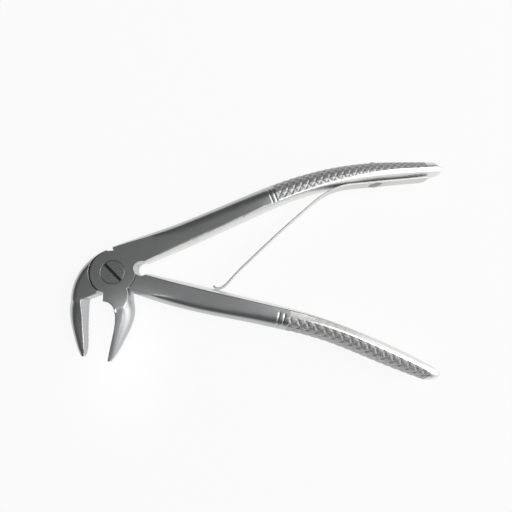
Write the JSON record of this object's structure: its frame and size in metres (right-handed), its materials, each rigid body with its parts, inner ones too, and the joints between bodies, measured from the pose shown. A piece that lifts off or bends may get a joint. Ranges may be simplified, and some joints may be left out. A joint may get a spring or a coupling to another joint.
{
  "type": "root extraction forceps",
  "caption": "Child-size extraction forceps with bent-down hawk's-bill beaks, a slotted lap joint, crosshatched grips and a leaf spring between the handles.",
  "frame": {"origin": "on the hinge axis, on the flat back face of the lap joint", "axes": "+Z along the hinge axis towards the slotted screw head, +X from the joint towards the handles, beaks towards -Y"},
  "size_m": [0.1309, 0.0795, 0.0106],
  "materials": {
    "forged_steel": "satin, polished along the edges",
    "screw_steel": "satin",
    "spring_steel": "bright satin",
    "rivet_steel": "polished"
  },
  "bodies": {
    "rear_lever": {"rear_lever": "forged_steel", "joint_screw": "screw_steel"},
    "front_lever": {"front_lever": "forged_steel", "leaf_spring": "spring_steel", "spring_rivet": "rivet_steel"}
  },
  "joints": [
    {"name": "lever_hinge", "type": "hinge", "parent": "rear_lever", "child": "front_lever", "pos_m": [0, 0, 0], "axis": [0, 0, 1], "range_deg": [-15, 2], "stiffness_Nm_per_rad": 1.2, "deforming": ["leaf_spring"]}
  ]
}
